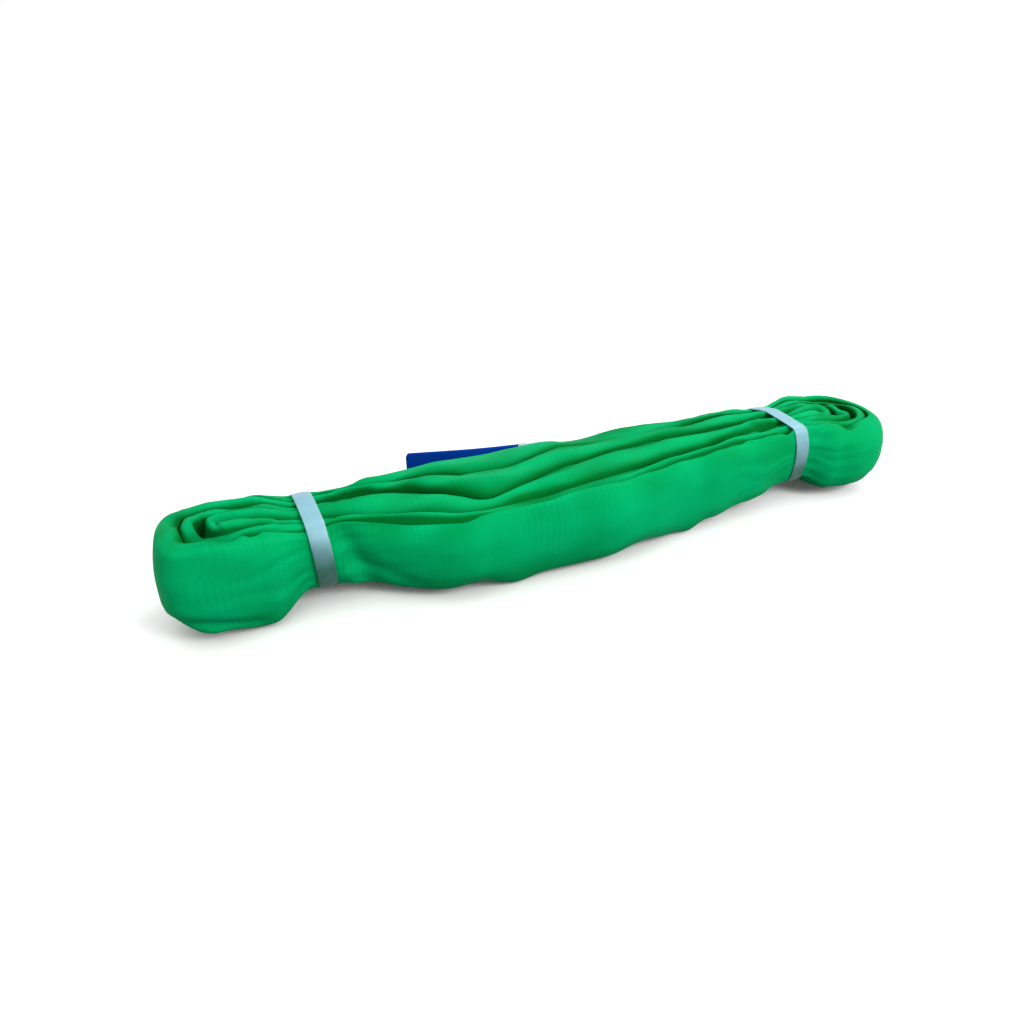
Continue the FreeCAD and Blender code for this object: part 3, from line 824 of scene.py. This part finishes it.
# ---- sleeve and core ------------------------------------------------------------------------
CORE_REACH, CORE_SPREAD = 0.5, 0.62          # of the sleeve's height and thickness
CORE_CAPS = (9.0, 9.0)
TAPED_RUN, TAPE_X = LOOP[0], (-12.5, 12.5)


def piece(obj, body, replaces=()):
    """What a piece says about itself: its body and the CAD nodes it stands for, which it hides."""
    if replaces:
        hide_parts(*replaces)
    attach(obj, body)
    return obj


# each point of the sleeve carries its amount of painted shade, for the green cloth's darker colour
sleeve_rings, painted_shade = tube_rings(Section(18, 12, 11, 8))
sleeve = tube_object("sleeve_cover", sleeve_rings, GREEN_CLOTH)
sleeve.data.attributes.new("painted_shade", "FLOAT", "POINT").data.foreach_set("value", painted_shade.ravel())
piece(sleeve, "sling", ["sleeve"])

core_rings, _ = tube_rings(Section(5, 5, 7, 7), CORE_SPREAD, CORE_REACH, caps=CORE_CAPS)
core = tube_object("core_yarns", core_rings[::2], YARN)
piece(core, "sling", ["core_hank"])

tape_rings, _ = tube_rings(Section(5, 5, 7, 7), CORE_SPREAD + 0.1, CORE_REACH + 0.02, [TAPED_RUN], TAPE_X,
                           CORE_CAPS)
tape = tube_object("core_tape", tape_rings, TAPE, close=False)
piece(tape, "sling", ["core_end_tape"])


# ---- straps -----------------------------------------------------------------------------
STRAP_WIDTH, STRAP_THICKNESS, STRAP_LAP = 11.0, 0.55, 25.0
STRAP_LEAN, STRAP_LIFT = -1.6, 0.25
WELD_LIFT = STRAP_LIFT + STRAP_THICKNESS + 0.1


def outline_of(points):
    """Convex outline of points in a plane, in order."""
    points = sorted(set(map(tuple, np.round(points, 3))))

    def chain(items):
        kept = []
        for p in items:
            while len(kept) > 1 and ((kept[-1][0] - kept[-2][0]) * (p[1] - kept[-2][1])
                                     - (kept[-1][1] - kept[-2][1]) * (p[0] - kept[-2][0])) <= 0:
                kept.pop()
            kept.append(p)
        return kept[:-1]

    return np.array(chain(points) + chain(points[::-1]))


def around(loop, count):
    """count points evenly spaced round a closed outline."""
    closed = np.vstack([loop, loop[:1]])
    length = steps_along(closed)
    at = np.linspace(0, length[-1], count + 1)[:-1]
    return np.stack([np.interp(at, length, closed[:, i]) for i in (0, 1)], -1)


def strap_rings(x, lift, part=None):
    """Band round the neck at x. part keeps only a stretch of that height on the back."""
    near = sleeve_rings.reshape(-1, 3)
    near = near[np.abs(near[:, 0] - x) < STRAP_WIDTH / 2 + 1.5]
    loop = around(outline_of(near[:, 1:]), 240)
    kernel = bell(np.arange(-9, 10), 0.0, 4.0)
    kernel /= kernel.sum()
    padded = np.vstack([loop[-9:], loop, loop[:9]])
    loop = np.stack([np.convolve(padded[:, i], kernel, "valid") for i in (0, 1)], -1)
    ahead = np.roll(loop, -1, 0) - np.roll(loop, 1, 0)
    normal = np.stack([ahead[:, 1], -ahead[:, 0]], -1)
    normal /= np.linalg.norm(normal, axis=1)[:, None]
    middle = loop.mean(axis=0)
    loop = loop + normal * lift
    if part is not None:
        back = np.flatnonzero((loop[:, 0] > middle[0] + 8) & (np.abs(loop[:, 1] - middle[1]) < part / 2))
        loop, normal = loop[back], normal[back]
    w, t = STRAP_WIDTH / 2, STRAP_THICKNESS
    # the band's section: across, share of the thickness, and bow
    band = [(-w, 0.15, 0.0), (-w + .4, 0.5, 0.0), (-w / 2, 0.5, 0.12), (0, 0.5, 0.18), (w / 2, 0.5, 0.12),
            (w - .4, 0.5, 0.0), (w, 0.15, 0.0), (w, -0.15, 0.0), (w - .4, -0.5, 0.0), (w / 2, -0.5, 0.12),
            (0, -0.5, 0.18), (-w / 2, -0.5, 0.12), (-w + .4, -0.5, 0.0), (-w, -0.15, 0.0)]
    rings = []
    for p, n in zip(loop, normal):
        tilt = STRAP_LEAN * (p[1] - middle[1]) / 22.0
        rings.append([(x + tilt + across, p[0] + n[0] * (t * (0.5 + up) + bow),
                       p[1] + n[1] * (t * (0.5 + up) + bow)) for across, up, bow in band])
    return np.array(rings)


for side, x in (("left", LEFT_STRAP_X), ("right", RIGHT_STRAP_X + 1.5)):
    strap = tube_object(side + "_strap_band", strap_rings(x, STRAP_LIFT), FILM, flip=True)
    piece(strap, "sling", [side + "_strap"])
    weld_rings = strap_rings(x, WELD_LIFT, STRAP_LAP)
    weld = tube_object(side + "_strap_weld", weld_rings, FILM, flip=True, close=False)
    piece(weld, "sling")


# ---- back of the bundle: label and sleeve join ----------------------------------------------
HINGE_X, HINGE_Y = 4.0, 49.8
LABEL_LOW, LABEL_HIGH = 3.0, 49.0
LABEL_START_ANGLE, LABEL_BEND_RADIUS = math.radians(4.5), 400.0
TAB_SEWN_X, TAB_LENGTH, TAG_START, LABEL_LENGTH = 22.0, 20.0, 14.0, 98.5
LABEL_THICKNESS = 0.6
TAG_LIFT, TAG_CORNER = LABEL_THICKNESS + 0.05, 2.5
LAP_X, LAP_Z = (6.0, 56.0), (2.5, 47.5)
LAP_LIFT, LAP_THICKNESS = 0.5, 1.2
LAP_ROWS, LAP_ROW_ENDS = (12.0, 18.0, 44.0, 50.0), (4.0, 46.0)       # stitching: x, and z
BACK_X = np.arange(0.0, 62.0, 1.0)
BACK_TABLE = settle(place(BACK_X[:, None], 8.0 - WALL_GAP, np.linspace(-1, 1, 90)[None, :], 0.0))


def back_of_sleeve(x, z):
    """y of the sleeve's back face at each x and z."""
    rows = np.array([np.interp(z.ravel(), line[:, 2], line[:, 1]) for line in BACK_TABLE])
    at = np.clip(x.ravel(), 0, BACK_X[-1] - 0.001)
    low = at.astype(int)
    pick = np.arange(at.size)
    return (rows[low, pick] * (1 - at + low) + rows[low + 1, pick] * (at - low)).reshape(x.shape)


def on_back(x, z):
    """y of the cloth laid on the back: on the sleeve, but straight at the label's hinge line."""
    window = smooth((z + 3.0) / 5.0) * smooth((LABEL_HIGH + 7.0 - z) / 6.0)
    hinge = smooth((15.0 - x) / 10.0) * window
    return (back_of_sleeve(x, z) + 0.45) * (1 - hinge) + HINGE_Y * hinge


def label_place(s, z, lift):
    """Point of the loose label, s mm from the hinge line."""
    angle = LABEL_START_ANGLE + s / LABEL_BEND_RADIUS
    radius = LABEL_BEND_RADIUS - lift
    x = HINGE_X + LABEL_BEND_RADIUS * math.sin(LABEL_START_ANGLE) - radius * np.sin(angle)
    y = HINGE_Y + LABEL_BEND_RADIUS * math.cos(LABEL_START_ANGLE) - radius * np.cos(angle)
    return np.stack([x, y, z], -1)


def tab_place(s, z, lift):
    """Point of the tab: s is negative on the sewn half and positive on the loose half."""
    sewn_x = HINGE_X - s
    sewn = np.stack([sewn_x, on_back(sewn_x, z) + lift, z], -1)
    loose = label_place(np.maximum(s, 0), z, lift)
    share = smooth((s + 3.0) / 6.0)[..., None]
    return sewn * (1 - share) + loose * share


s, z = np.meshgrid(np.linspace(HINGE_X - TAB_SEWN_X, TAB_LENGTH, 40),
                   np.linspace(LABEL_LOW, LABEL_HIGH, 24), indexing="ij")
z = LABEL_LOW + (z - LABEL_LOW) * (1 - 0.07 * smooth(-s / 5.0))      # the lap covers its sewn end
tab = slab_object("label_tab", tab_place(s, z, -LABEL_THICKNESS / 2),
                  tab_place(s, z, LABEL_THICKNESS / 2), PALE_CLOTH)
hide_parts("label_tab_sewn_end", "label_tab_flap")
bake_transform(tab)

s, t = np.meshgrid(np.linspace(TAG_START, LABEL_LENGTH, 64), np.linspace(-1, 1, 26), indexing="ij")
end = np.clip((s - (LABEL_LENGTH - TAG_CORNER)) / TAG_CORNER, 0, 1)
rounded = TAG_CORNER * (1 - np.sqrt(np.maximum(1 - end ** 2, 0.0)))
z = (LABEL_LOW + LABEL_HIGH) / 2 + t * ((LABEL_HIGH - LABEL_LOW) / 2 - rounded)
curl = 0.5 * smooth((s - 35) / 60) * waves(51, s / 70.0, z / 60.0) + 0.5 * smooth((s - 60) / 38.0) * t ** 2
tag = slab_object("label_tag_sheet", label_place(s, z, TAG_LIFT - LABEL_THICKNESS / 2 - curl),
                  label_place(s, z, TAG_LIFT + LABEL_THICKNESS / 2 - curl), BLUE_CLOTH)
piece(tag, "label", ["label_tag"])

x, z = np.meshgrid(np.linspace(*LAP_X, 32), np.linspace(*LAP_Z, 30), indexing="ij")
fray = 0.35 * waves(61, z / 9.0, 0 * z)
x = x + fray * (np.abs(x - sum(LAP_X) / 2) > 24.5)
under = on_back(x, z) + LAP_LIFT
lap = slab_object("sleeve_lap_sheet", np.stack([x, under, z], -1),
                  np.stack([x, under + LAP_THICKNESS, z], -1), GREEN_CLOTH)
piece(lap, "sling", ["sleeve_lap"])


UP, OUT = np.array((0.0, 0, 1)), np.array((0.0, 1, 0))
STITCH_PITCH, STITCH_LENGTH = 4.0, 2.9
BEAD_RINGS, BEAD_SIDES = 7, 8


def stitch_row(centre, low, high):
    """Slightly slanted thread beads in an upright row; centre(z) is a point on the cloth."""
    points, faces = [], []
    count = int((high - low) / STITCH_PITCH)
    start = low + ((high - low) - (count - 1) * STITCH_PITCH) / 2
    across = np.cross(UP, OUT)
    for i in range(count):
        middle = start + i * STITCH_PITCH
        base = len(points)
        for j in range(BEAD_RINGS):
            t = -1 + j / 3.0
            girth = math.sqrt(max(1 - t ** 4, 0.04))
            foot = centre(middle + t * STITCH_LENGTH / 2)
            for k in range(BEAD_SIDES):
                angle = 2 * math.pi * k / BEAD_SIDES
                bead = across * (0.36 * girth * math.cos(angle) + 0.12 * t)
                bead = bead + OUT * (0.30 * girth * math.sin(angle) + 0.16 * (1 - t * t))
                points.append(foot + bead)
        sides = grid_faces(BEAD_RINGS, BEAD_SIDES, False, True) + base
        faces += sides.tolist()
        faces.append([base + k for k in range(BEAD_SIDES - 1, -1, -1)])
        faces.append([base + (BEAD_RINGS - 1) * BEAD_SIDES + k for k in range(BEAD_SIDES)])
    return points, faces


def stitches(name, rows, material):
    points, faces = [], []
    for more_points, more_faces in rows:
        faces += [[i + len(points) for i in face] for face in more_faces]
        points += more_points
    return make_mesh(name, points, faces, None, material)


def on_lap(column):
    def centre(z):
        y = float(on_back(np.array([column]), np.array([z]))[0])
        return np.array((column, y + LAP_LIFT + LAP_THICKNESS, z))
    return centre


rows = [stitch_row(on_lap(column), *LAP_ROW_ENDS) for column in LAP_ROWS]
piece(stitches("sleeve_lap_stitches", rows, GREEN_THREAD), "sling", ["sleeve_lap_stitching"])


def on_tag(at):
    def centre(z):
        return label_place(np.array(at), np.array(z), TAG_LIFT + LABEL_THICKNESS / 2)
    return centre


middle_s = (TAG_START + TAB_LENGTH) / 2
rows = [stitch_row(on_tag(middle_s), LABEL_LOW + 2, LABEL_HIGH - 2)]
piece(stitches("label_tag_stitches", rows, PALE_THREAD), "label", ["label_tag_stitching"])
